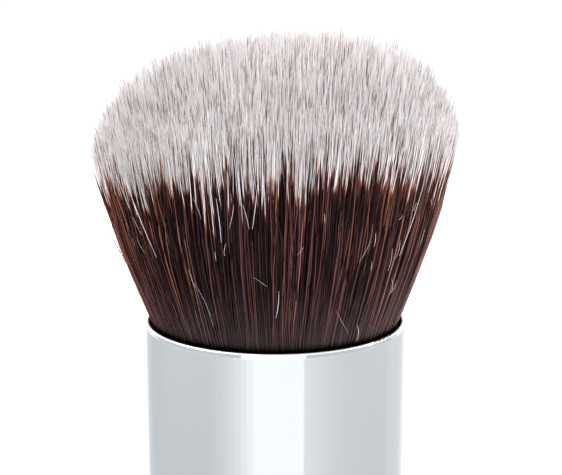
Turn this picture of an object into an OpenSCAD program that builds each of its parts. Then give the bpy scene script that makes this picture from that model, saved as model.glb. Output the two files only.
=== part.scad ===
// Short domed kabuki makeup brush, standing on its base.
// The origin is the centre of the base, +Z runs up through the handle and the ferrule to the crown.
// Everything is turned about Z, so most pieces are half sections that are spun once.

/* [Ferrule] */
// Outside diameter of the drawn aluminium tube
ferrule_d = 28; // [25:0.5:33]
// Length of the tube, from the handle's shoulder to the rim
ferrule_len = 22; // [19:0.5:28]
// Wall of the tube
ferrule_wall = 0.3; // [0.2:0.05:0.5]
// Height of the stretch below the rim that is rolled inward
lip_h = 0.5; // [0.5:0.1:1.5]
// How far the rim is rolled inward
lip_in = 0.1; // [0.05:0.01:0.25]
// Number of crimp beads that hold the tube on the handle
crimp_count = 2; // [1:1:2]
// Height of the lowest crimp bead above the tube's lower edge
crimp_start = 1.4; // [1.4:0.1:1.9]
// Distance from one crimp bead to the next
crimp_pitch = 2.1; // [2.1:0.1:2.6]
// Radius of the wheel that rolls the beads
crimp_wheel_r = 0.6; // [0.5:0.05:0.7]
// Depth of a crimp bead in the outside of the tube
crimp_depth = 0.4; // [0.2:0.05:0.5]

/* [Tuft] */
// Largest diameter of the head
tuft_d = 38; // [35:0.2:44]
// Height of the crown above the ferrule's rim
crown_h = 29.2; // [26:0.2:36]
// Height of the widest place above the ferrule's rim
shoulder_h = 17.7; // [14:0.1:20]
// Fullness of the crown: 2 is an ellipse, more is squarer
crown_fullness = 2.5; // [2:0.1:3]
// How far the flaring side bows outward between the rim and the widest place
flare_bow = 0.3; // [0:0.1:1]
// Length of the undyed white fibre tips
white_len = 5; // [4:0.5:9]
// Depth of the fibre butts below the ferrule's rim
butt_depth = 13.4; // [12.5:0.1:14]
// How far the butts spread past the bound neck
butt_spread = 0.8; // [0:0.1:1.2]
// Angle at which the fibres fan out of the binding
fan_angle = 19; // [14:1:22]

/* [Binding and resin] */
// Depth of the top thread turn below the ferrule's rim
tie_depth = 6.8; // [6:0.1:7.5]
// Number of thread turns
tie_turns = 5; // [3:1:6]
// Diameter of the binding thread
thread_d = 0.8; // [0.6:0.05:0.9]
// Depth of the resin's surface below the ferrule's rim
resin_depth = 4.2; // [3.5:0.1:5.5]
// Thickness of the resin below the fibre butts
resin_floor = 0.8; // [0.5:0.1:1]
// How far the resin creeps up the wall of the tube
meniscus_h = 0.6; // [0.2:0.1:0.9]

/* [Handle] */
// Height of the handle, from the surface it stands on to its shoulder
handle_h = 27; // [27:0.5:40]
// Diameter of the waist
waist_d = 22.2; // [21.8:0.2:23.6]
// Height of the waist
waist_z = 12.5; // [11.5:0.5:14]
// Diameter of the foot
foot_d = 26.4; // [25.6:0.2:28]
// Height of the straight band above the foot's rounded edge
foot_band = 2.2; // [1.5:0.1:3]
// Radius of the foot's edge
foot_round = 1; // [0.5:0.1:1.3]
// Straight band below the shoulder
shoulder_band = 2; // [1:0.1:3]
// How far the shoulder stays inside the tube's outside
shoulder_step = 0.15; // [0.05:0.05:0.4]
// Radius of the shoulder's edge
shoulder_round = 0.35; // [0.2:0.05:0.6]
// Height of the chamfer on the tenon's end
tenon_chamfer = 0.6; // [0.3:0.1:0.9]
// Wall of the tenon at its open end
tenon_wall = 2.2; // [1.9:0.1:3]
// Wall between the waist and the moulded pockets' floor
pocket_wall = 2.2; // [1.8:0.1:2.8]
// Thickness of the web between the weight's chamber and the pockets
web_t = 2.4; // [1.6:0.1:3]
// Number of ribs around the central boss
rib_count = 8; // [8:2:10]
// Thickness of a rib
rib_t = 1.3; // [1:0.1:1.8]
// Diameter of the central boss
boss_d = 7.6; // [6.5:0.1:9]

/* [Weight and base cap] */
// Diameter of the steel weight
weight_d = 17; // [15:0.1:17.4]
// Length of the weight's full diameter
weight_h = 10; // [7:0.5:11]
// Chamfer on the weight's upper edge
weight_chamfer = 0.7; // [0.3:0.1:1.2]
// Diameter of the base cap
cap_d = 22.4; // [20.4:0.1:22.8]
// Thickness of the base cap's disc
cap_t = 2; // [1.6:0.1:2.6]
// How far the base cap stands proud of the handle's foot
cap_proud = 0.3; // [0.1:0.05:0.6]
// Radius of the cap's lower edge
cap_round = 0.2; // [0.05:0.05:0.25]
// Height of the skirt that snaps into the handle
skirt_h = 3; // [2.6:0.1:3.6]
// Wall of the skirt
skirt_wall = 1.1; // [0.8:0.1:1.5]
// Radius of the snap bead around the skirt
snap_r = 0.3; // [0.2:0.05:0.4]
// Height of the snap bead above the disc
snap_z = 1.7; // [1:0.1:2]

/* [Clearances] */
// Between the fibres and the rolled lip
mouth_gap = 0.3; // [0.05:0.05:0.3]
// Between the tenon and the tube
tenon_gap = 0.08; // [0.04:0.01:0.12]
// Between the tube's lower edge and the shoulder
seat_gap = 0.05; // [0.02:0.01:0.15]
// Bond line around everything that the resin holds
bond_gap = 0.03; // [0.02:0.01:0.06]
// Around the weight
weight_gap = 0.12; // [0.05:0.01:0.2]
// Around the base cap and its skirt
cap_gap = 0.1; // [0.05:0.01:0.15]

/* [Hidden] */
$fn = 96;

// Ferrule
ferrule_r = ferrule_d / 2;
bore_r = ferrule_r - ferrule_wall;
rim_z = handle_h + ferrule_len;
crimp_centre_r = ferrule_r + crimp_wheel_r - crimp_depth;
crimp_top = crimp_start + (crimp_count - 1) * crimp_pitch;

// Tuft, with heights below measured from the rim
tuft_r = tuft_d / 2;
mouth_r = bore_r - lip_in - mouth_gap;
thread_pitch = 0.94 * thread_d;
tie_h = (tie_turns - 1) * thread_pitch + thread_d;
neck_r = mouth_r - tie_depth * tan(fan_angle);
butt_r = neck_r + butt_spread;
butt_z = rim_z - butt_depth;
tie_top_z = rim_z - tie_depth;
profile_steps = 14;

// Handle, from its tenon down to its chamber
shoulder_r = ferrule_r - shoulder_step;
waist_r = waist_d / 2;
foot_r = foot_d / 2;
tenon_r = bore_r - tenon_gap;
tenon_top = butt_z - resin_floor - 2 * bond_gap;
chamber_r = weight_d / 2 + weight_gap;
weight_top = cap_t + skirt_h + weight_gap + weight_h;
chamber_top = weight_top + weight_gap;
pocket_z = chamber_top + web_t;

// Base cap
cap_r = cap_d / 2;
skirt_r = chamber_r - cap_gap;
past = 1;

// Radius of an arc that leaves a vertical line and moves sideways by depth over the given rise
function arc_r(depth, rise) = (rise * rise + depth * depth) / (2 * depth);

// Side of the head at t, from the rim at 0 to the widest place at 1
function flare(t) = [
    mouth_r + (tuft_r - mouth_r) * t + flare_bow * sin(180 * t),
    shoulder_h * t
];

// Crown at the angle a, from the widest place at 0 to the apex at 90
function crown(a) = [
    tuft_r * pow(cos(a), 2 / crown_fullness),
    shoulder_h + (crown_h - shoulder_h) * pow(sin(a), 2 / crown_fullness)
];

// Half section of the head above the rim
module head_section() {
    translate([0, rim_z]) polygon(concat(
        [[0, 0]],
        [for (i = [0:profile_steps - 1]) flare(i / profile_steps)],
        [for (i = [0:profile_steps - 1]) crown(90 * i / profile_steps)],
        [[0, crown_h]]
    ));
}

// Half section of the bundle below the rim, grown by a bond line where the resin is cut
module root_section(grow = 0) {
    polygon([
        [0, butt_z - grow],
        [butt_r + grow, butt_z - grow],
        [neck_r + grow, tie_top_z - tie_h],
        [neck_r + grow, tie_top_z],
        [mouth_r + grow, rim_z],
        [0, rim_z]
    ]);
}

// Fibres with their tips' white length taken off all over the crown
module tuft_body() {
    color([0.25, 0.16, 0.15]) rotate_extrude() {
        root_section();
        intersection() {
            head_section();
            translate([0, -white_len]) head_section();
        }
    }
}

// White ends of the same fibres, one length deep all over the crown
module tuft_tips() {
    color([0.87, 0.85, 0.85]) rotate_extrude() difference() {
        head_section();
        translate([0, -white_len]) head_section();
    }
}

// Thread turns pulled tight around the neck, each pressed into the next
module root_tie() {
    color([0.8, 0.76, 0.66]) for (turn = [0:tie_turns - 1]) {
        translate([0, 0, tie_top_z - thread_d / 2 - turn * thread_pitch])
            rotate_extrude() translate([neck_r + bond_gap + thread_d / 2, 0]) circle(d = thread_d);
    }
}

// Cast cup that fills the tube around the butts, with a meniscus up the wall
module root_resin() {
    outer = bore_r - bond_gap;
    floor_z = butt_z - resin_floor - bond_gap;
    top_z = rim_z - resin_depth;
    color([0.72, 0.6, 0.36]) rotate_extrude() difference() {
        polygon([
            [0, floor_z],
            [outer, floor_z],
            [outer, top_z + meniscus_h],
            [outer - meniscus_h, top_z],
            [0, top_z]
        ]);
        root_section(bond_gap);
        translate([0, tie_top_z - tie_h - bond_gap])
            square([neck_r + thread_d + 2 * bond_gap, tie_h + 2 * bond_gap]);
    }
}

// Places something at each crimp bead, on the bead's own centre
module at_crimps() {
    for (i = [0:crimp_count - 1])
        translate([crimp_centre_r, handle_h + crimp_start + i * crimp_pitch]) children();
}

// Half section of the tube: straight wall, beads rolled through it and an inward lip
module ferrule_section() {
    lip_z = rim_z - lip_h;
    top_z = rim_z - ferrule_wall / 2;
    difference() {
        union() {
            translate([bore_r, handle_h + seat_gap])
                square([ferrule_wall, lip_z - handle_h - seat_gap]);
            polygon([
                [bore_r, lip_z],
                [ferrule_r, lip_z],
                [ferrule_r - lip_in, top_z],
                [bore_r - lip_in, top_z]
            ]);
            translate([ferrule_r - lip_in - ferrule_wall / 2, top_z]) circle(d = ferrule_wall);
            intersection() {
                at_crimps() circle(r = crimp_wheel_r + ferrule_wall);
                translate([0, handle_h + seat_gap]) square([ferrule_r, crimp_top + crimp_pitch]);
            }
        }
        at_crimps() circle(r = crimp_wheel_r);
    }
}

module ferrule() {
    color([0.86, 0.87, 0.88]) rotate_extrude() ferrule_section();
}

// Material outside a rounded edge whose corner is at the origin, to be cut away
module edge_waste(r) {
    difference() {
        translate([-r, -r]) square(r + past);
        translate([-r, -r]) circle(r);
    }
}

// Air beside the waist on one side of it: way is 1 above and -1 below
module waist_air(outer, rise, way) {
    bend = arc_r(outer - waist_r, rise);
    translate([waist_r + bend, waist_z]) scale([1, way]) intersection() {
        circle(bend, $fn = 360);
        translate([-bend, 0]) square([bend, rise + past]);
    }
}

// Section of a moulded groove with straight flanks that just touch a circle of radius r
module groove_section(r) {
    rotate(45) square(2 * r, center = true);
}

// Half section of the handle's outside, with the tenon that the tube is crimped on
module handle_section() {
    difference() {
        union() {
            translate([0, cap_proud]) square([foot_r, waist_z - cap_proud]);
            translate([0, waist_z]) square([shoulder_r, handle_h - waist_z]);
            translate([0, handle_h]) polygon([
                [0, -past],
                [tenon_r, -past],
                [tenon_r, tenon_top - handle_h - tenon_chamfer],
                [tenon_r - tenon_chamfer, tenon_top - handle_h],
                [0, tenon_top - handle_h]
            ]);
        }
        waist_air(shoulder_r, handle_h - shoulder_band - waist_z, 1);
        waist_air(foot_r, waist_z - cap_proud - foot_round - foot_band, -1);
        translate([shoulder_r, handle_h]) intersection() {
            edge_waste(shoulder_round);
            translate([-shoulder_step, -past]) square(2 * past);
        }
        translate([foot_r, cap_proud]) mirror([0, 1]) edge_waste(foot_round);
        at_crimps() groove_section(crimp_wheel_r + ferrule_wall + tenon_gap);
    }
}

// Moulded pockets between the boss, the ribs and the tapering wall
module handle_pockets() {
    depth = tenon_top - pocket_z;
    difference() {
        translate([0, 0, pocket_z])
            cylinder(h = depth + past, r1 = waist_r - pocket_wall,
                     r2 = tenon_r - tenon_wall + past * (tenon_r - tenon_wall - waist_r + pocket_wall) / depth);
        translate([0, 0, pocket_z - past]) cylinder(h = depth + 3 * past, d = boss_d);
        for (i = [0:rib_count / 2 - 1])
            rotate(i * 360 / rib_count)
                translate([-ferrule_r, -rib_t / 2, pocket_z - past])
                    cube([2 * ferrule_r, rib_t, depth + 3 * past]);
    }
}

module handle_shell() {
    color([0.05, 0.05, 0.055]) difference() {
        rotate_extrude() handle_section();
        cylinder(h = chamber_top, r = chamber_r);
        cylinder(h = cap_t + cap_gap, r = cap_r + cap_gap);
        translate([0, 0, cap_t + snap_z])
            rotate_extrude() translate([skirt_r, 0]) groove_section(snap_r + cap_gap);
        handle_pockets();
    }
}

// Turned steel slug whose spigot stands in the cap's skirt
module balance_weight() {
    spigot_r = skirt_r - skirt_wall - weight_gap;
    step_z = cap_t + skirt_h + weight_gap;
    color([0.45, 0.46, 0.48]) rotate_extrude() polygon([
        [0, cap_t + weight_gap],
        [spigot_r, cap_t + weight_gap],
        [spigot_r, step_z],
        [weight_d / 2, step_z],
        [weight_d / 2, weight_top - weight_chamfer],
        [weight_d / 2 - weight_chamfer, weight_top],
        [0, weight_top]
    ]);
}

// Disc that the brush stands on, with a skirt and a snap bead that hold it in the handle
module base_cap() {
    color([0.08, 0.08, 0.085]) rotate_extrude() {
        difference() {
            square([cap_r, cap_t]);
            translate([cap_r, 0]) mirror([0, 1]) edge_waste(cap_round);
        }
        translate([skirt_r - skirt_wall, cap_t - skirt_wall]) square([skirt_wall, skirt_h + skirt_wall]);
        intersection() {
            translate([skirt_r, cap_t + snap_z]) circle(r = snap_r);
            translate([skirt_r - skirt_wall, 0]) square([2 * skirt_wall, cap_t + skirt_h]);
        }
    }
}

tuft_body();
tuft_tips();
root_tie();
root_resin();
ferrule();
handle_shell();
balance_weight();
base_cap();
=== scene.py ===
import math

import bmesh
import bpy
import numpy as np
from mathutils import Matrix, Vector
from mathutils.kdtree import KDTree


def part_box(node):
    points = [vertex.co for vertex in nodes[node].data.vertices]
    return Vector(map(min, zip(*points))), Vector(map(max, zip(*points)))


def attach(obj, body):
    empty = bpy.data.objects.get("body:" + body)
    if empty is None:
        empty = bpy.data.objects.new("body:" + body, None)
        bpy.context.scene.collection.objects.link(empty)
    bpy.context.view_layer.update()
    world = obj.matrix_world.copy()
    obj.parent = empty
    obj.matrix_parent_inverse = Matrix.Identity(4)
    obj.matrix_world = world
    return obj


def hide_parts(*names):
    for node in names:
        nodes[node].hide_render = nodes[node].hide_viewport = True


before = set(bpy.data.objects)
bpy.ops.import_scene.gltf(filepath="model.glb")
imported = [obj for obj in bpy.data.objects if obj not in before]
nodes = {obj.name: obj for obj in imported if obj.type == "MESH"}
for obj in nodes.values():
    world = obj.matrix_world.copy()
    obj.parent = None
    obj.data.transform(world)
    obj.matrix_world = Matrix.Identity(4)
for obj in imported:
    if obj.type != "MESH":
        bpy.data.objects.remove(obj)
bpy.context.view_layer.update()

scene = bpy.context.scene
mm = 0.001
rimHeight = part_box("ferrule")[1].z / mm      # mm above the floor
random = np.random.default_rng(28)
goldenAngle = math.pi * (3 - math.sqrt(5))   # spreads points evenly over a disc

# The camera stands where the photo's did: fitted to the rim's ellipse and the ferrule's two edges.
view = {
    "place": (0.63, -146.6, 89.4),            # mm
    "pitchDown": 12.15,                       # degrees
    "lens": 89.7,                             # mm on a 36 mm sensor
}

cameraData = bpy.data.cameras.new("photoCamera")
cameraData.lens = view["lens"]
cameraData.sensor_width = 36
cameraData.clip_start = 0.01
cameraData.clip_end = 20
camera = bpy.data.objects.new("photoCamera", cameraData)
camera.location = [value * mm for value in view["place"]]
camera.rotation_euler = (math.radians(90 - view["pitchDown"]), 0, 0)
scene.collection.objects.link(camera)
scene.camera = camera
scene.view_settings.view_transform = "Standard"
print("camera placed")


# A hex colour as Blender's linear one.
def colour(code):
    shares = [int(code[place:place + 2], 16) / 255 for place in (0, 2, 4)]
    return [s / 12.92 if s <= 0.04045 else ((s + 0.055) / 1.055) ** 2.4 for s in shares] + [1.0]


# Adds one node with its settings, sets or links its inputs, and gives a ramp its stops.
def addNode(tree, kind, settings=None, inputs=None, stops=()):
    node = tree.nodes.new(kind)
    for name, value in (settings or {}).items():
        setattr(node, name, value)
    for name, value in (inputs or {}).items():
        if isinstance(value, bpy.types.NodeSocket):
            tree.links.new(value, node.inputs[name])
        else:
            node.inputs[name].default_value = value
    while stops and len(node.color_ramp.elements) > 1:
        node.color_ramp.elements.remove(node.color_ramp.elements[-1])
    for number, (place, value) in enumerate(stops):
        stop = node.color_ramp.elements.new(place) if number else node.color_ramp.elements[0]
        stop.position = place
        stop.color = value
    return node


# The scale that gives a pattern on Object coordinates a grain of this many mm.
def grainScale(size):
    return 1 / (size * mm)


# The same for a wave, whose lines stand a tenth of pi apart at scale 1.
def lineScale(spacing):
    return math.pi / 10 / (spacing * mm)


def grey(value):
    return (value, value, value, 1)


# An empty node material. Its Principled shader is added last and passed to finishMaterial.
def startMaterial(name):
    material = bpy.data.materials.new(name)
    material.use_nodes = True
    material.node_tree.nodes.clear()
    return material, material.node_tree


def finishMaterial(tree, shader):
    addNode(tree, "ShaderNodeOutputMaterial", inputs={"Surface": shader.outputs["BSDF"]})


def keepPiece(piece, slot, material, *replaced):
    piece.data.materials.clear()
    piece.data.materials.append(material)
    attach(piece, "root")
    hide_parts(*replaced)


# White board, painted with a roller: matt, with a faint stipple that only breaks up the sheen.
stage = {
    "floorRadius": 3000,                      # mm
    "stipple": 33.3,                          # mm, coarser than a roller's, or it wouldn't show
    "floorColour": "F4F4F4",
    "roughness": (0.82, 0.9),
    "worldColour": "F6F8FB",
    "worldStrength": 0.86,
}

material, tree = startMaterial("rollerPaintedBoard")
place = addNode(tree, "ShaderNodeTexCoord")
stipple = addNode(tree, "ShaderNodeTexNoise", inputs={
    "Vector": place.outputs["Object"], "Scale": grainScale(stage["stipple"]), "Detail": 3.0})
rough = addNode(tree, "ShaderNodeMapRange", inputs={
    "Value": stipple.outputs["Fac"], "To Min": stage["roughness"][0], "To Max": stage["roughness"][1]})
finishMaterial(tree, addNode(tree, "ShaderNodeBsdfPrincipled", inputs={
    "Base Color": colour(stage["floorColour"]), "Roughness": rough.outputs["Result"],
    "Specular IOR Level": 0.2}))

floorMesh = bmesh.new()
bmesh.ops.create_circle(floorMesh, cap_ends=True, segments=96, radius=stage["floorRadius"] * mm)
floorData = bpy.data.meshes.new("floor")
floorMesh.to_mesh(floorData)
floorMesh.free()
floor = bpy.data.objects.new("floor", floorData)
floorData.materials.append(material)
scene.collection.objects.link(floor)

world = bpy.data.worlds.new("paleRoom")
scene.world = world
world.use_nodes = True
background = world.node_tree.nodes["Background"]
background.inputs["Color"].default_value = colour(stage["worldColour"])
background.inputs["Strength"].default_value = stage["worldStrength"]

# Soft boxes: centre and aim in mm, width and height in mm, and how bright the face is. The two at the sides
# stand just high enough to stay out of the rolled lip's reflections, and fillFront lights the lip's middle.
panels = {
    "ceiling": {"place": (0, 1300, 1600), "aim": (0, 1300, 0), "size": (4200, 4200), "bright": 0.57},
    "keyFront": {"place": (-400, -600, 960), "aim": (0, 0, 65), "size": (520, 520), "bright": 2.25},
    "fillFront": {"place": (-16, -900, 400), "aim": (0, 0, 55), "size": (950, 260), "bright": 1.9},
    "topLeft": {"place": (-900, 100, 1100), "aim": (0, 0, 70), "size": (640, 640), "bright": 1.8},
    "sideRight": {"place": (620, 170, 190), "aim": (0, 0, 62), "size": (420, 120), "bright": 14.0},
    "sideLeft": {"place": (-640, -80, 275), "aim": (0, 0, 62), "size": (420, 120), "bright": 14.0},
}

# A curved bounce card stands on the floor in front of the ferrule. Its bright middle makes the white band
# and its ends fade out, which grades the metal to both sides. Turns are in degrees from the front.
bounceCard = {
    "radius": 83,                             # mm from the brush's axis
    "height": 31,
    "middle": (-17.3, 23.0),
    "bright": 1.1,
    "strips": 8,                              # in each fading end
    "leftFade": {"end": -58.0, "least": 0.0, "more": 0.94, "power": 1.8},
    "rightFade": {"end": 70.0, "least": 0.14, "more": 0.42, "power": 1.6},
    "rightWings": (((70.0, 108.0), 0.14), ((108.0, 150.0), 0.26)),
}


def addPanel(name, place, aim, size, bright):
    data = bpy.data.lights.new(name, "AREA")
    data.shape = "RECTANGLE"
    data.size, data.size_y = size[0] * mm, size[1] * mm
    data.energy = bright * math.pi * data.size * data.size_y
    light = bpy.data.objects.new(name, data)
    light.location = [value * mm for value in place]
    towards = (Vector(aim) - Vector(place)).normalized()
    light.rotation_euler = towards.to_track_quat("-Z", "Y").to_euler()
    light.visible_camera = False
    scene.collection.objects.link(light)


for name, values in panels.items():
    addPanel(name, **values)


def addCard(name, edges, bright):
    low, high = (math.radians(edge) for edge in edges)
    middle, half, up = (low + high) / 2, (high - low) / 2, bounceCard["height"] / 2
    away = bounceCard["radius"] * math.cos(half)             # so that neighbours meet on the circle
    width = 2 * bounceCard["radius"] * math.sin(half)
    place = (away * math.sin(middle), -away * math.cos(middle), up)
    addPanel(name, place, (0, 0, up), (width, bounceCard["height"]), bright)


addCard("cardMiddle", bounceCard["middle"], bounceCard["bright"])
for number, (edges, bright) in enumerate(bounceCard["rightWings"]):
    addCard(f"cardRightWing{number + 1}", edges, bright)
for side, start in zip(("left", "right"), bounceCard["middle"]):
    fade = bounceCard[side + "Fade"]
    step = (fade["end"] - start) / bounceCard["strips"]
    for number in range(bounceCard["strips"]):
        share = 1 - (number + 0.5) / bounceCard["strips"]
        edges = sorted((start + step * number, start + step * (number + 1)))
        addCard(f"card{side}{number + 1}", edges, fade["least"] + fade["more"] * share ** fade["power"])
print("stage and light placed")


# Tapered PBT filament, extruded and then bulk dyed to 2 to 5 mm from its tips: fine streaks on the side, from
# near black to russet, with more russet at the head's left and right as painted glow of back light shining
# through, a ragged line with an orange edge, white tips tinted pink above the line as painted bounce light,
# and painted shade at the roots. Heights are read from the fibre's own UV map: each fibre has one of 128
# columns, its lower half is the height above the rim and its upper half the distance from the tip, so the
# colours follow the fibre.
fibre = {
    "columns": 128,
    "russetFrom": 62,                         # columns from here on are russet, those below are mauve
    "undyedColumns": 4,                       # the last columns stay white over their whole length
    # russet fibres are a redder dye; the extra of them on the two sides is painted glow of back light shining
    # through the fibres
    "russetAndSideGlowChance": (0.08, 0.8),              # at the front, and how much more at the two sides
    "rootSpan": (-2.0, 8.0),                  # mm above the rim, over the map's lower half
    "tipSpan": 12.0,                          # mm below the tip, over the map's upper half
    "capOnMap": 0.004,                        # how high a fibre's end is on the map, so that it has an area
    "whiteLength": 4.1,                       # mm from the tip to the dye line, before the spreads below
    "dyeLineSpread": 0.9,
    "dyeLineTail": 4.3,                       # a few fibres are dyed almost to their tips
    "tailPower": 4.0,                         # the higher, the fewer
    "bleed": (-2.2, 0.5),                     # mm from the dye line, over which the two ramps below run
    "whitening": ((0.72, 0), (0.82, 0.1), (1.0, 1)),
    "orangeEdge": ((0.0, 0), (0.65, 0.1), (0.8, 0.9), (1.0, 1)),
    "bounceTintLength": 1.8,                       # mm of the white above the dye line tinted pink, painted reddish light bounced up from the dyed part
    "radius": 0.06,                           # mm
    "radiusSpread": (0.85, 1.15),
    "tipRadius": 0.01,
    "taperLength": 6.0,
    "taperPower": 0.62,                       # below 1, the tip comes to its point late
    "mauveDye": ("0E0708", "704A4D"),         # the deepest and the palest fibre
    # the redder dye, which on the two sides also serves as the painted glow of back light
    "russetDye": ("160907", "AE6E5E"),
    "palePower": (2.8, 2.0),                  # how rare the pale ones are, for mauve and russet
    "undyed": ("D4CCCC", "FBF9F9"),
    # the pink of that painted bounce light
    "bounceTint": "ECDAD7",
    "orange": "A2583C",
    # the grey of the painted shade at the roots
    "rootShadeGrey": "4A3D3E",
    # painted shade at the roots next to the rim: mm above the rim and how much charcoal grey, then how far
    # from black
    "rootShadeGreying": ((0.8, 0.75), (3.0, 0.45), (7.0, 0.0)),
    "rootShadeBlackening": ((0.1, 0.03), (0.35, 0.3), (0.8, 0.85), (1.5, 1.0)),
}
firstUndyed = fibre["columns"] - fibre["undyedColumns"]


def rootPlace(height):
    return 0.5 * (height - fibre["rootSpan"][0]) / (fibre["rootSpan"][1] - fibre["rootSpan"][0])


material, tree = startMaterial("bulkDyedTaperedFibre")
mapNode = addNode(tree, "ShaderNodeUVMap", {"uv_map": "OFBake"})
parts = addNode(tree, "ShaderNodeSeparateXYZ", inputs={"Vector": mapNode.outputs["UV"]})
across = addNode(tree, "ShaderNodeMath", {"operation": "MULTIPLY"}, {
    0: parts.outputs["X"], 1: float(fibre["columns"])})
column = addNode(tree, "ShaderNodeMath", {"operation": "FLOOR"}, {0: across.outputs[0]})
chance = addNode(tree, "ShaderNodeTexWhiteNoise", {"noise_dimensions": "1D"}, {"W": column.outputs[0]})
chances = addNode(tree, "ShaderNodeSeparateColor", inputs={"Color": chance.outputs["Color"]})

# mm from the dye line, towards the tip
fromTip = addNode(tree, "ShaderNodeMapRange", {"clamp": False}, {
    "Value": parts.outputs["Y"], "From Min": 0.5, "From Max": 1.0,
    "To Min": fibre["whiteLength"] - fibre["tipSpan"], "To Max": fibre["whiteLength"]})
spread = addNode(tree, "ShaderNodeMapRange", inputs={
    "Value": chances.outputs["Red"], "To Min": -fibre["dyeLineSpread"], "To Max": fibre["dyeLineSpread"]})
rare = addNode(tree, "ShaderNodeMath", {"operation": "POWER"}, {
    0: chances.outputs["Red"], 1: fibre["tailPower"]})
tail = addNode(tree, "ShaderNodeMath", {"operation": "MULTIPLY_ADD"}, {
    0: rare.outputs[0], 1: fibre["dyeLineTail"], 2: spread.outputs["Result"]})
pastLine = addNode(tree, "ShaderNodeMath", {"operation": "SUBTRACT"}, {
    0: fromTip.outputs["Result"], 1: tail.outputs[0]})
bleed = addNode(tree, "ShaderNodeMapRange", inputs={
    "Value": pastLine.outputs[0], "From Min": fibre["bleed"][0], "From Max": fibre["bleed"][1]})
whitening = addNode(tree, "ShaderNodeValToRGB", inputs={"Fac": bleed.outputs["Result"]},
                    stops=[(at, grey(share)) for at, share in fibre["whitening"]])

russet = addNode(tree, "ShaderNodeMath", {"operation": "GREATER_THAN"}, {
    0: column.outputs[0], 1: fibre["russetFrom"] - 0.5})
rarity = addNode(tree, "ShaderNodeMath", {"operation": "MULTIPLY_ADD"}, {
    0: russet.outputs[0], 1: fibre["palePower"][1] - fibre["palePower"][0], 2: fibre["palePower"][0]})
lighter = addNode(tree, "ShaderNodeMath", {"operation": "POWER"}, {
    0: chances.outputs["Green"], 1: rarity.outputs[0]})
deepDye = addNode(tree, "ShaderNodeMix", {"data_type": "RGBA"}, {
    0: russet.outputs[0], 6: colour(fibre["mauveDye"][0]), 7: colour(fibre["russetDye"][0])})
paleDye = addNode(tree, "ShaderNodeMix", {"data_type": "RGBA"}, {
    0: russet.outputs[0], 6: colour(fibre["mauveDye"][1]), 7: colour(fibre["russetDye"][1])})
brown = addNode(tree, "ShaderNodeMix", {"data_type": "RGBA"}, {
    0: lighter.outputs[0], 6: deepDye.outputs[2], 7: paleDye.outputs[2]})
white = addNode(tree, "ShaderNodeMix", {"data_type": "RGBA"}, {
    0: chances.outputs["Blue"], 6: colour(fibre["undyed"][0]), 7: colour(fibre["undyed"][1])})
# painted bounce light: the white turns pink towards the dye line
bounceTint = addNode(tree, "ShaderNodeMapRange", inputs={
    "Value": pastLine.outputs[0], "From Max": fibre["bounceTintLength"], "To Min": 1.0, "To Max": 0.0})
bounceTinted = addNode(tree, "ShaderNodeMix", {"data_type": "RGBA"}, {
    0: bounceTint.outputs["Result"], 6: white.outputs[2], 7: colour(fibre["bounceTint"])})
orangeEdge = addNode(tree, "ShaderNodeValToRGB", inputs={"Fac": bleed.outputs["Result"]},
                     stops=[(at, grey(share)) for at, share in fibre["orangeEdge"]])
dyed = addNode(tree, "ShaderNodeMix", {"data_type": "RGBA"}, {
    0: orangeEdge.outputs["Color"], 6: brown.outputs[2], 7: colour(fibre["orange"])})
twoTone = addNode(tree, "ShaderNodeMix", {"data_type": "RGBA"}, {
    0: whitening.outputs["Color"], 6: dyed.outputs[2], 7: bounceTinted.outputs[2]})
undyed = addNode(tree, "ShaderNodeMath", {"operation": "GREATER_THAN"}, {
    0: column.outputs[0], 1: firstUndyed - 0.5})
body = addNode(tree, "ShaderNodeMix", {"data_type": "RGBA"}, {
    0: undyed.outputs[0], 6: twoTone.outputs[2], 7: white.outputs[2]})
# painted shade at the roots: the fibres dull to charcoal grey over the lowest 7 mm above the rim and go black
# right at it
rootShadeGreying = addNode(tree, "ShaderNodeValToRGB", inputs={"Fac": parts.outputs["Y"]},
                        stops=[(rootPlace(height), grey(share)) for height, share in fibre["rootShadeGreying"]])
rootShadeGreyed = addNode(tree, "ShaderNodeMix", {"data_type": "RGBA"}, {
    0: rootShadeGreying.outputs["Color"], 6: body.outputs[2], 7: colour(fibre["rootShadeGrey"])})
rootShadeBlackening = addNode(tree, "ShaderNodeValToRGB", inputs={"Fac": parts.outputs["Y"]},
                     stops=[(rootPlace(height), grey(share)) for height, share in fibre["rootShadeBlackening"]])
final = addNode(tree, "ShaderNodeMix", {"data_type": "RGBA", "blend_type": "MULTIPLY"}, {
    0: 1.0, 6: rootShadeGreyed.outputs[2], 7: rootShadeBlackening.outputs["Color"]})
finishMaterial(tree, addNode(tree, "ShaderNodeBsdfPrincipled", inputs={
    "Base Color": final.outputs[2], "Roughness": 0.34, "Specular IOR Level": 0.06, "IOR": 1.5}))
fibreMaterial = material

# Painted shade for the bundle's middle, where the filament is packed tight and no light comes: near black
# with some grain.
packed = {
    "grain": 0.25,                            # mm, about two fibres
    "tones": ("0F0A0A", "201515"),
}

material, tree = startMaterial("packedFibreShade")
place = addNode(tree, "ShaderNodeTexCoord")
grain = addNode(tree, "ShaderNodeTexNoise", inputs={
    "Vector": place.outputs["Object"], "Scale": grainScale(packed["grain"]), "Detail": 2.0})
shade = addNode(tree, "ShaderNodeMix", {"data_type": "RGBA"}, {
    0: grain.outputs["Fac"], 6: colour(packed["tones"][0]), 7: colour(packed["tones"][1])})
finishMaterial(tree, addNode(tree, "ShaderNodeBsdfPrincipled", inputs={
    "Base Color": shade.outputs[2], "Roughness": 0.9, "Specular IOR Level": 0.05}))
paintedShadeMaterial = material
print("fibre materials made")


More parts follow.
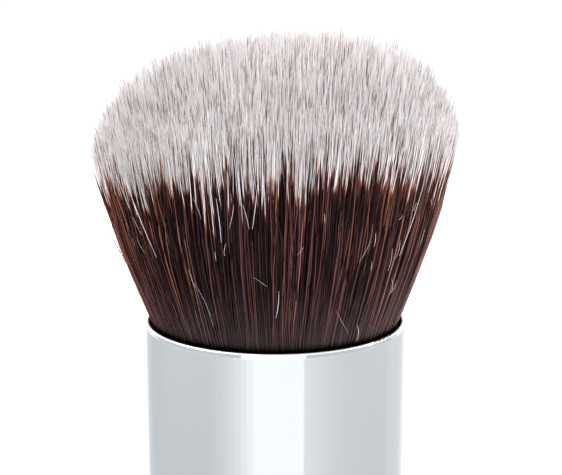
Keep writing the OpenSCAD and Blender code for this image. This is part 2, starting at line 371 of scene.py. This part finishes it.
# The head's trimmed shape, in mm above the rim. The tips end near it, most of them a little lower, and the
# CAD's solid is drawn through the middle of them.
head = {
    "mouthRadius": 13.27,
    "shoulderRadius": 19.3,
    "shoulderHeight": 17.7,
    "crownHeight": 29.75,
    "crownFullness": 2.38,
    "flareBow": 0.27,
    "bendHeight": 11.0,                       # where the outer fibres start to lean back in
    "rootSlope": 0.36,                        # how fast the bundle narrows below the rim
    "fanSlope": 0.25,                         # and how fast it goes on widening above the shoulder
    "lean": 0.065,                            # the trimmed crown is a little higher on the right
    "wave": 0.045,                            # mm that a fibre wanders sideways, from one station to the next
    "proudTips": 1.0,                         # the most that a tip stands above the trimmed crown
    "sideTip": 21.0,                          # the outermost fibres' tips, at the sides
    "frontTip": 24.0,                         # and at the front and the back
}


def sideRadius(z):
    share = np.clip(z / head["shoulderHeight"], 0, 1)
    radius = head["mouthRadius"] + (head["shoulderRadius"] - head["mouthRadius"]) * share
    radius = radius + head["flareBow"] * np.sin(np.pi * share)
    return radius + head["rootSlope"] * np.minimum(z, 0)


def fanRadius(z):
    return sideRadius(z) + head["fanSlope"] * np.maximum(z - head["shoulderHeight"], 0)


def crownRadius(z):
    rise = head["crownHeight"] - head["shoulderHeight"]
    share = np.clip((z - head["shoulderHeight"]) / rise, 0, 1)
    power = head["crownFullness"]
    return head["shoulderRadius"] * np.maximum(1 - share ** power, 0) ** (1 / power)


def outerRadius(z):
    return np.where(z < head["shoulderHeight"], sideRadius(z), crownRadius(z))


# The height at which a fibre at this share of the bundle's radius meets the crown.
def tipHeight(share):
    low = np.full_like(share, head["shoulderHeight"])
    high = np.full_like(share, head["crownHeight"])
    for _ in range(24):
        middle = (low + high) / 2
        inside = share * fanRadius(middle) < crownRadius(middle)
        low = np.where(inside, middle, low)
        high = np.where(inside, high, middle)
    return low


# One closed tube per fibre. Points are (fibres, stations, 3) and radii (fibres, stations), in mm; heights
# on the map are (fibres, stations), and each fibre has one column of the map.
def fibreMesh(name, points, radii, mapHeights, columns):
    count, stations = radii.shape
    sectionData = bpy.data.curves.new(name + "Section", "CURVE")
    sectionData.dimensions = "2D"
    ring = sectionData.splines.new("POLY")
    ring.points.add(2)
    ring.use_cyclic_u = True
    for side in range(3):
        turn = 2 * math.pi * side / 3
        ring.points[side].co = (math.cos(turn), math.sin(turn), 0, 1)
    section = bpy.data.objects.new(name + "Section", sectionData)
    pathData = bpy.data.curves.new(name + "Paths", "CURVE")
    pathData.dimensions = "3D"
    pathData.bevel_mode = "OBJECT"
    pathData.bevel_object = section
    pathData.use_fill_caps = True
    spots = np.ones((count, stations, 4), np.float32)
    spots[..., :3] = points * mm
    spots[..., 2] += rimHeight * mm
    sizes = (radii * mm).astype(np.float32)
    for number in range(count):
        spline = pathData.splines.new("POLY")
        spline.points.add(stations - 1)
        spline.points.foreach_set("co", spots[number].ravel())
        spline.points.foreach_set("radius", sizes[number])
    paths = bpy.data.objects.new(name + "Paths", pathData)
    scene.collection.objects.link(section)
    scene.collection.objects.link(paths)
    graph = bpy.context.evaluated_depsgraph_get()
    mesh = bpy.data.meshes.new_from_object(paths.evaluated_get(graph), depsgraph=graph)
    mesh.name = name
    for item, data in ((paths, pathData), (section, sectionData)):
        bpy.data.objects.remove(item)
        bpy.data.curves.remove(data)

    # the tube's points come as 3 at the tip's cap, 3 at the root's, then 3 round each station; a cap's three
    # corners would lie on one line of the map, so one of them is moved inwards
    corner = np.empty(len(mesh.loops), np.int64)
    mesh.loops.foreach_get("vertex_index", corner)
    capPoints = 6 * count
    onCap = corner < capPoints
    along = np.where(onCap, 0, corner - capPoints)
    owner = np.where(onCap, corner // 6, along // (3 * stations))
    station = np.where(onCap, np.where(corner % 6 < 3, stations - 1, 0), along % (3 * stations) // 3)
    side = np.where(onCap, corner % 3, along % 3)
    places = np.empty((len(corner), 2), np.float32)
    places[:, 0] = (columns[owner] + (1 + side) / 4) / fibre["columns"]
    places[:, 1] = mapHeights[owner, station]
    inwards = np.where(station == 0, fibre["capOnMap"], -fibre["capOnMap"])
    places[:, 1] += np.where(onCap & (side == 1), inwards, 0)
    layer = mesh.uv_layers[0] if mesh.uv_layers else mesh.uv_layers.new()
    layer.name = "OFBake"
    layer.data.foreach_set("uv", places.ravel())

    solid = bmesh.new()
    solid.from_mesh(mesh)
    bmesh.ops.remove_doubles(solid, verts=solid.verts, dist=1e-7)
    bmesh.ops.recalc_face_normals(solid, faces=solid.faces)
    for face in solid.faces:
        face.smooth = True
    solid.to_mesh(mesh)
    solid.free()
    piece = bpy.data.objects.new(name, mesh)
    scene.collection.objects.link(piece)
    return piece


# A fibre's height on its map, from its height above the rim and its distance from the tip.
def mapHeight(z, fromTip):
    low, high = fibre["rootSpan"]
    lower = 0.5 * (np.clip(z, low, high) - low) / (high - low)
    upper = 0.5 + 0.5 * (1 - np.clip(fromTip, 0, fibre["tipSpan"]) / fibre["tipSpan"])
    return np.where(fromTip < fibre["tipSpan"], upper, lower)


def taper(fromTip, fullRadius):
    share = np.clip(fromTip / fibre["taperLength"], 0, 1) ** fibre["taperPower"]
    return fibre["tipRadius"] + (fullRadius - fibre["tipRadius"]) * share


# Fibres cling together in small bundles, each with a length and a dye line of its own.
bundles = {
    "count": 1800,
    "turnJitter": 0.3,                        # radians
    "centreJitter": 0.012,                    # as a share of the head's radius
    "pull": (0.3, 0.85),                      # how far a fibre's tip leans to its bundle's centre
    "pullPower": 1.6,                         # above 1, it leans mostly near the tip
    "middlePull": 0.4,                        # the share of that pull in the middle of the head
    "pullGrows": (0.35, 0.75),                # as shares of the radius, from there to a full pull
    "lengthSpread": 0.25,                     # mm, from one bundle to the next
    "dyeSpread": 0.8,
}

# How one fibre differs from its neighbours: normal spreads and their limits, in mm unless a line says more.
growth = {
    "lowestTipSpread": 0.5,
    "tip": {"loc": -0.75, "scale": 1.0},      # from the trimmed crown
    "tipLimits": (-3.6, 1.3),
    "outwards": 0.35,                         # drift outwards, as a share of the drift sideways
    "outwardsLimits": (-0.35, 0.3),
    "driftPower": 1.4,
    "wayward": (0.06, 2.5),                   # the share of fibres that drift this many times as far
    "bow": 0.07,
    "waveFrom": 4,                            # mm above the rim, where the wander is full
    "outerShare": 0.78,                       # fibres from here out are held to the head's outline
    "edge": {"loc": -0.15, "scale": 0.4},     # from that outline
    "edgeLimits": (-0.9, 0.7),
    "edgeBelowTip": 0.5,
}

bundleShare = np.sqrt((np.arange(bundles["count"]) + 0.5) / bundles["count"])
bundleTurn = np.arange(bundles["count"]) * goldenAngle
bundleTurn = bundleTurn + random.normal(0, bundles["turnJitter"], bundles["count"])
bundleCentres = np.stack([bundleShare * np.cos(bundleTurn), bundleShare * np.sin(bundleTurn)], 1)
bundleCentres += random.normal(0, bundles["centreJitter"], bundleCentres.shape)
bundleLengths = random.normal(0, bundles["lengthSpread"], bundles["count"])
bundleDyes = random.normal(0, bundles["dyeSpread"], bundles["count"])
bundleTree = KDTree(bundles["count"])
for number, (x, y) in enumerate(bundleCentres):
    bundleTree.insert((x, y, 0), number)
bundleTree.balance()


# Paths of fibres that stand at these places in the head, given as shares of its radius. Stations with a
# height are at that height above the rim; the rest are given as distances below the tip.
def growFibres(places, heights, depths, spread):
    count = len(places)
    share = np.hypot(places[:, 0], places[:, 1])
    nearest = np.array([bundleTree.find((x, y, 0))[1] for x, y in places])
    outward = places / np.maximum(share[:, None], 1e-3)
    lowestTip = head["sideTip"] + (head["frontTip"] - head["sideTip"]) * outward[:, 1] ** 2
    tip = np.maximum(tipHeight(share), lowestTip + random.normal(0, growth["lowestTipSpread"], count))
    tip += np.clip(random.normal(size=count, **growth["tip"]), *growth["tipLimits"]) + bundleLengths[nearest]
    tip = np.minimum(tip, head["crownHeight"] + head["proudTips"])
    z = np.empty((count, len(heights) + len(depths)))
    z[:, :len(heights)] = heights
    z[:, len(heights):] = tip[:, None] - np.array(depths)
    along = np.clip(z / tip[:, None], 0, 1)[..., None]
    pull = random.uniform(*bundles["pull"], (count, 1, 1))
    pull *= np.interp(share, bundles["pullGrows"], (bundles["middlePull"], 1))[:, None, None]
    centre = bundleCentres[nearest][:, None, :]
    spot = places[:, None, :] + (centre - places[:, None, :]) * pull * along ** bundles["pullPower"]
    spot *= fanRadius(z)[..., None]

    sideways = np.stack([-outward[:, 1], outward[:, 0]], 1)
    rarely, further = growth["wayward"]
    wayward = np.where(random.random((count, 1)) < rarely, further, 1.0)
    outwards = random.normal(0, spread * growth["outwards"], (count, 1))
    drift = (outward * np.clip(outwards, *growth["outwardsLimits"])
             + sideways * random.normal(0, spread, (count, 1)) * wayward)
    bow = sideways * random.normal(0, growth["bow"], (count, 1))
    spot += drift[:, None, :] * along ** growth["driftPower"] + bow[:, None, :] * np.sin(np.pi * along)
    wave = random.normal(0, head["wave"], z.shape) * np.clip(z / growth["waveFrom"], 0, 1)
    spot += wave[..., None] * sideways[:, None, :]

    # an outer fibre runs straight from the bend to its tip, which leaves the outline by its own jitter only
    radius = np.hypot(spot[..., 0], spot[..., 1])
    edge = np.clip(random.normal(size=(count, 1), **growth["edge"]), *growth["edgeLimits"])
    tipLimit = np.maximum(outerRadius(tip[:, None] - growth["edgeBelowTip"]) + edge, 0.05)
    excess = np.maximum(radius[:, -1:] - tipLimit, 0) * (share[:, None] > growth["outerShare"])
    past = np.clip((z - head["bendHeight"]) / (tip[:, None] - head["bendHeight"]), 0, 1)
    spot *= (1 - excess * past / np.maximum(radius, 1e-6))[..., None]
    points = np.concatenate([spot, z[..., None]], 2)
    points[..., 2] += head["lean"] * points[..., 0] * z / head["crownHeight"]

    fullRadius = fibre["radius"] * random.uniform(*fibre["radiusSpread"], (count, 1))
    fromTip = tip[:, None] - z
    # russet fibres, far more often on the two sides, where they are painted glow of back light through the
    # fibres
    least, more = fibre["russetAndSideGlowChance"]
    russetWithSideGlow = random.random(count) < least + more * outward[:, 0] ** 2
    columns = np.where(russetWithSideGlow, random.integers(fibre["russetFrom"], firstUndyed, count),
                       random.integers(0, fibre["russetFrom"], count))
    dyed = mapHeight(z, np.maximum(fromTip + bundleDyes[nearest][:, None], 0))
    return points, taper(fromTip, fullRadius), dyed, columns


# Fibres stood evenly between two shares of the radius, then shuffled, so that each piece is spread over all.
def addFibres(name, count, batch, shares, heights, depths, spread, jitter):
    turn = np.arange(count) * goldenAngle
    low, high = shares
    share = np.sqrt(np.linspace(low ** 2, high ** 2, count))
    places = np.stack([share * np.cos(turn), share * np.sin(turn)], 1)
    places += random.normal(0, jitter, places.shape)
    length = np.hypot(places[:, 0], places[:, 1])
    places *= (np.minimum(length, high) / np.maximum(length, 1e-6))[:, None]
    places = places[random.permutation(count)]
    for number, start in enumerate(range(0, count, batch)):
        made = growFibres(places[start:start + batch], heights, depths, spread)
        piece = fibreMesh(f"{name}{number + 1}", *made)
        keepPiece(piece, "dyed_fibre", fibreMaterial, "tuft_body", "tuft_tips")
    print(name, "grown:", count, "fibres")


sideFibres = {
    "count": 6600,
    "batch": 3300,
    "shares": (0.9, 1.0),
    "heights": (-1.5, 0.0, 1.2, 3.6, 6.2, 9.0, 12.0, 15.0),
    "depths": (2.0, 0.0),
    "spread": 0.6,                            # mm that a tip drifts
    "jitter": 0.004,                          # as a share of the radius
}
crownFibres = {
    "count": 60000,
    "batch": 8600,
    "shares": (0.0, 0.93),
    "heights": (),
    "depths": (9.0, 5.0, 2.0, 0.0),
    "spread": 0.38,
    "jitter": 0.004,
}
addFibres("sideFibres", **sideFibres)
addFibres("crownFibres", **crownFibres)

# Loose hairs that lie across the dyed side. Each has the turn in degrees and the height of its two ends
# (the front is at -90 degrees), how far it bows sideways in degrees, how far it stands off in mm and
# its radius in mm.
strays = {
    "stations": 9,
    "lift": 0.12,                             # mm off the side at a hair's ends
    "endRadius": 0.5,                         # at its ends, as a share of its radius
    "undyed": [
        ((-138.5, 17.5), (-133.5, 9.5), 0.0, 0.1, 0.042),
        ((-106.5, 16.5), (-106.5, 12.0), 0.3, 0.1, 0.024),
        ((-94.5, 18.0), (-96.5, 13.5), 0.2, 0.1, 0.026),
        ((-101.5, 16.0), (-103.5, 13.5), 0.3, 0.1, 0.022),
        ((-99.0, 16.0), (-97.5, 13.5), 0.3, 0.1, 0.022),
        ((-109.0, 11.0), (-109.0, 10.0), 0.0, 0.1, 0.022),
        ((-88.5, 7.0), (-89.5, 4.0), 0.3, 0.1, 0.036),
        ((-119.0, 7.5), (-115.0, 2.5), 1.6, 0.2, 0.013),
        ((-97.0, 8.5), (-92.5, 7.5), 0.2, 0.1, 0.012),
        ((-41.0, 17.5), (-43.0, 9.5), 0.3, 0.1, 0.034),
        ((-47.5, 14.0), (-48.5, 13.5), 0.0, 0.1, 0.02),
        ((-48.0, 10.5), (-47.0, 8.0), 0.2, 0.1, 0.02),
        ((-57.0, 12.5), (-56.5, 11.0), 0.0, 0.1, 0.018),
        ((-56.0, 9.5), (-55.5, 8.5), 0.0, 0.1, 0.018),
        ((-55.0, 2.5), (-52.5, 0.5), 0.4, 0.1, 0.024),
        ((-66.5, 4.5), (-58.0, 1.5), -0.6, 0.2, 0.012),
        ((-75.5, 15.0), (-75.0, 14.0), 0.0, 0.1, 0.02),
    ],
    "dyed": [
        ((-179.0, 14.0), (-178.0, 5.0), 0.6, 0.6, 0.03),
        ((-176.0, 13.5), (-179.0, 6.0), 0.4, 0.75, 0.025),
        ((-182.0, 12.5), (-178.0, 4.5), -0.5, 0.5, 0.025),
        ((-177.0, 5.0), (-179.0, 2.0), 0.0, 0.35, 0.025),
        ((-3.0, 9.0), (-1.0, 3.5), 0.4, 0.4, 0.025),
    ],
    "mapHeight": 0.49,                        # just below the tips' half of the map, so without a dye line
}

# Short undyed ones all round, in mm and degrees.
scattering = {
    "count": 44,
    "heights": (6, 17),                       # of the upper end
    "drops": (0.8, 2.5),                      # from the upper end to the lower
    "turnSpread": 1.2,
    "bowSpread": 0.3,
    "standOff": 0.1,
    "radius": (0.01, 0.018),
}


def strayFibres(name, hairs, columns):
    spots = np.array([(*top, *bottom, *shape) for top, bottom, *shape in hairs])[..., None]
    along = np.linspace(0, 1, strays["stations"])[None]
    arch = np.sin(np.pi * along)
    turn = np.radians(spots[:, 0] + (spots[:, 2] - spots[:, 0]) * along + spots[:, 4] * arch)
    z = spots[:, 1] + (spots[:, 3] - spots[:, 1]) * along
    radius = sideRadius(z) + strays["lift"] + spots[:, 5] * arch
    points = np.stack([radius * np.cos(turn), radius * np.sin(turn), z], 2)
    radii = spots[:, 6] * (strays["endRadius"] + (1 - strays["endRadius"]) * arch)
    piece = fibreMesh(name, points, radii, np.full(z.shape, strays["mapHeight"]), columns)
    keepPiece(piece, "dyed_fibre", fibreMaterial, "tuft_body", "tuft_tips")
    print(name, "laid:", len(hairs))


scattered = []
for number in range(scattering["count"]):
    turn, top = random.uniform(-180, 180), random.uniform(*scattering["heights"])
    end = (turn + random.normal(0, scattering["turnSpread"]), top - random.uniform(*scattering["drops"]))
    bow = random.normal(0, scattering["bowSpread"])
    scattered.append(((turn, top), end, bow, scattering["standOff"], random.uniform(*scattering["radius"])))
pale = strays["undyed"] + scattered
dark = strays["dyed"]
strayFibres("undyedStrays", pale, random.integers(firstUndyed, fibre["columns"], len(pale)))
strayFibres("dyedStrays", dark, random.integers(fibre["russetFrom"], firstUndyed, len(dark)))


# The middle of the bundle, in place of the imported one: a solid of painted shade, dark between the fibres,
# down to the butts in the ferrule.
core = {
    "share": 0.915,                           # of the side's radius
    "stemHeights": (-8.0, -3.0, 0.0, 4.0, 8.0, 12.0),        # mm above the rim
    "tiedRadius": 10.9,                       # mm, below the rim
    "tiedBelow": -4,
    "buttRadius": 11.1,
    "buttHeight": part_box("tuft_body")[0].z / mm,
    "crownShares": (0.9, 0.8, 0.7, 0.5, 0.3, 0.0),
    "belowCrown": 8.4,                        # mm
    "lowestCrown": 13.0,
    "steps": 96,
}
profile = [(radius, core["buttHeight"] - rimHeight) for radius in (0.0, core["buttRadius"])]
for z in core["stemHeights"]:
    radius = core["share"] * float(sideRadius(z)) if z > core["tiedBelow"] else core["tiedRadius"]
    profile.append((radius, z))
for share in core["crownShares"]:
    tip = float(tipHeight(np.array([share]))[0])
    z = max(tip - core["belowCrown"], core["lowestCrown"])
    profile.append((share * float(fanRadius(z)), z))
coreMesh = bmesh.new()
points = [coreMesh.verts.new((radius * mm, 0, (z + rimHeight) * mm)) for radius, z in profile]
edges = [coreMesh.edges.new(pair) for pair in zip(points, points[1:])]
bmesh.ops.spin(coreMesh, geom=points + edges, axis=(0, 0, 1), cent=(0, 0, 0), dvec=(0, 0, 0),
               angle=2 * math.pi, steps=core["steps"], use_merge=True)
bmesh.ops.remove_doubles(coreMesh, verts=coreMesh.verts, dist=1e-6)
bmesh.ops.recalc_face_normals(coreMesh, faces=coreMesh.faces)
for face in coreMesh.faces:
    face.smooth = True
coreData = bpy.data.meshes.new("paintedShadeCore")
coreMesh.to_mesh(coreData)
coreMesh.free()
corePiece = bpy.data.objects.new("paintedShadeCore", coreData)
scene.collection.objects.link(corePiece)
keepPiece(corePiece, "dyed_fibre", paintedShadeMaterial, "tuft_body")
print("core made")


# A CAD piece keeps its shape and gets a finish.
def setNodeMaterial(node, material):
    for slot in nodes[node].material_slots:
        slot.material = material


# Aluminium tube, drawn and then polished: a near mirror that takes the greys around it, with faint lines down
# its length. The rolled lip is painted brighter, a painted reflection in place of the dark band it would
# show, and its top edge is left satin and painted near white, a painted highlight line.
ferrule = {
    "drawLines": 0.4545,                      # mm apart; real ones are finer than the render can show
    "drawLength": 16.67,
    "roughness": (0.05, 0.09),
    "lip": 0.6,                               # mm below the rim
    # the barrel's own grey, then painted light: the lip brighter as a painted reflection and its top edge
    # near white as a painted highlight line
    "metalToneAndLipHighlight": ((0.1, "A2A5A7"), (0.2, "D9DBDD"), (0.68, "D9DBDD"), (0.78, "F7F8F8")),      # shares of that
    "edge": (0.68, 0.78),                     # where the satin edge begins, as shares of it too
    "edgeRoughness": 0.45,
    "glare": "E1E3E5",                        # holds back the white along the tube's two sides
}

material, tree = startMaterial("polishedDrawnAluminium")
place = addNode(tree, "ShaderNodeTexCoord")
across, along = grainScale(ferrule["drawLines"]), grainScale(ferrule["drawLength"])
stretch = addNode(tree, "ShaderNodeMapping", inputs={
    "Vector": place.outputs["Object"], "Scale": (across, across, along)})
drawLines = addNode(tree, "ShaderNodeTexNoise", inputs={
    "Vector": stretch.outputs["Vector"], "Scale": 1.0, "Detail": 2.0})
polish = addNode(tree, "ShaderNodeMapRange", inputs={
    "Value": drawLines.outputs["Fac"], "To Min": ferrule["roughness"][0], "To Max": ferrule["roughness"][1]})
spot = addNode(tree, "ShaderNodeSeparateXYZ", inputs={"Vector": place.outputs["Object"]})
lip = addNode(tree, "ShaderNodeMapRange", inputs={
    "Value": spot.outputs["Z"], "From Min": (rimHeight - ferrule["lip"]) * mm, "From Max": rimHeight * mm})
# painted reflection and highlight on the lip, over the barrel's own grey
tone = addNode(tree, "ShaderNodeValToRGB", inputs={"Fac": lip.outputs["Result"]},
               stops=[(at, colour(code)) for at, code in ferrule["metalToneAndLipHighlight"]])
onEdge = addNode(tree, "ShaderNodeMapRange", inputs={
    "Value": lip.outputs["Result"], "From Min": ferrule["edge"][0], "From Max": ferrule["edge"][1]})
finish = addNode(tree, "ShaderNodeMix", inputs={
    0: onEdge.outputs["Result"], 2: polish.outputs["Result"], 3: ferrule["edgeRoughness"]})
finishMaterial(tree, addNode(tree, "ShaderNodeBsdfPrincipled", inputs={
    "Base Color": tone.outputs["Color"], "Metallic": 1.0, "Roughness": finish.outputs[0],
    "Specular Tint": colour(ferrule["glare"])}))
setNodeMaterial("ferrule", material)

# ABS, injection moulded in a polished tool: deep black gloss, with reflections that the flow's ripple bends.
handle = {
    "tone": "0B0B0C",
    "ripple": 2.857,                          # mm across, and next how deep
    "rippleDepth": 0.02,
    "rippleStrength": 0.02,
    "roughness": (0.06, 0.12),
}

material, tree = startMaterial("mouldedGlossAbs")
place = addNode(tree, "ShaderNodeTexCoord")
ripple = addNode(tree, "ShaderNodeTexNoise", inputs={
    "Vector": place.outputs["Object"], "Scale": grainScale(handle["ripple"]), "Detail": 2.0})
smooth = addNode(tree, "ShaderNodeMapRange", inputs={
    "Value": ripple.outputs["Fac"], "To Min": handle["roughness"][0], "To Max": handle["roughness"][1]})
bump = addNode(tree, "ShaderNodeBump", inputs={
    "Strength": handle["rippleStrength"], "Distance": handle["rippleDepth"] * mm,
    "Height": ripple.outputs["Fac"]})
finishMaterial(tree, addNode(tree, "ShaderNodeBsdfPrincipled", inputs={
    "Base Color": colour(handle["tone"]), "Roughness": smooth.outputs["Result"], "IOR": 1.53,
    "Normal": bump.outputs["Normal"]}))
setNodeMaterial("handle_shell", material)

# ABS, moulded in a spark-eroded tool: satin black with a fine even grain.
baseCap = {
    "tone": "121213",
    "grain": 0.1667,                          # mm across, and next how deep
    "grainDepth": 0.02,
    "grainStrength": 0.2,
    "roughness": 0.45,
}

material, tree = startMaterial("mouldedSatinAbs")
place = addNode(tree, "ShaderNodeTexCoord")
spark = addNode(tree, "ShaderNodeTexNoise", inputs={
    "Vector": place.outputs["Object"], "Scale": grainScale(baseCap["grain"]), "Detail": 2.0})
bump = addNode(tree, "ShaderNodeBump", inputs={
    "Strength": baseCap["grainStrength"], "Distance": baseCap["grainDepth"] * mm,
    "Height": spark.outputs["Fac"]})
finishMaterial(tree, addNode(tree, "ShaderNodeBsdfPrincipled", inputs={
    "Base Color": colour(baseCap["tone"]), "Roughness": baseCap["roughness"], "IOR": 1.53,
    "Normal": bump.outputs["Normal"]}))
setNodeMaterial("base_cap", material)

# Cotton thread, twisted and waxed: a cream cord with darker lines where its strands meet.
thread = {
    "strand": 0.349,                          # mm
    "tones": ("B7AA8C", "E0D6BE"),
    "roughness": 0.6,
}

material, tree = startMaterial("waxedCottonThread")
place = addNode(tree, "ShaderNodeTexCoord")
strand = addNode(tree, "ShaderNodeTexWave", inputs={
    "Vector": place.outputs["Object"], "Scale": lineScale(thread["strand"]), "Distortion": 1.0})
tone = addNode(tree, "ShaderNodeMix", {"data_type": "RGBA"}, {
    0: strand.outputs["Fac"], 6: colour(thread["tones"][0]), 7: colour(thread["tones"][1])})
finishMaterial(tree, addNode(tree, "ShaderNodeBsdfPrincipled", inputs={
    "Base Color": tone.outputs[2], "Roughness": thread["roughness"]}))
setNodeMaterial("root_tie", material)

# Epoxy, cast in the tube: amber with soft clouds from the pour, and a glossy set face.
resin = {
    "cloud": 2.5,                             # mm
    "tones": ("A8874A", "C9A765"),
    "roughness": 0.15,
}

material, tree = startMaterial("castAmberEpoxy")
place = addNode(tree, "ShaderNodeTexCoord")
cloud = addNode(tree, "ShaderNodeTexNoise", inputs={
    "Vector": place.outputs["Object"], "Scale": grainScale(resin["cloud"])})
tone = addNode(tree, "ShaderNodeMix", {"data_type": "RGBA"}, {
    0: cloud.outputs["Fac"], 6: colour(resin["tones"][0]), 7: colour(resin["tones"][1])})
finishMaterial(tree, addNode(tree, "ShaderNodeBsdfPrincipled", inputs={
    "Base Color": tone.outputs[2], "Roughness": resin["roughness"], "IOR": 1.55}))
setNodeMaterial("root_resin", material)

# Mild steel, turned and left bare: grey metal with the rings of the tool's feed.
weight = {
    "feed": 0.1963,                           # mm for each turn
    "tone": "B4B6B9",
    "roughness": (0.25, 0.4),
}

material, tree = startMaterial("turnedBareSteel")
place = addNode(tree, "ShaderNodeTexCoord")
feed = addNode(tree, "ShaderNodeTexWave", {"wave_type": "RINGS", "rings_direction": "Z"}, {
    "Vector": place.outputs["Object"], "Scale": lineScale(weight["feed"])})
rough = addNode(tree, "ShaderNodeMapRange", inputs={
    "Value": feed.outputs["Fac"], "To Min": weight["roughness"][0], "To Max": weight["roughness"][1]})
finishMaterial(tree, addNode(tree, "ShaderNodeBsdfPrincipled", inputs={
    "Base Color": colour(weight["tone"]), "Metallic": 1.0, "Roughness": rough.outputs["Result"]}))
setNodeMaterial("balance_weight", material)
print("hard parts finished")
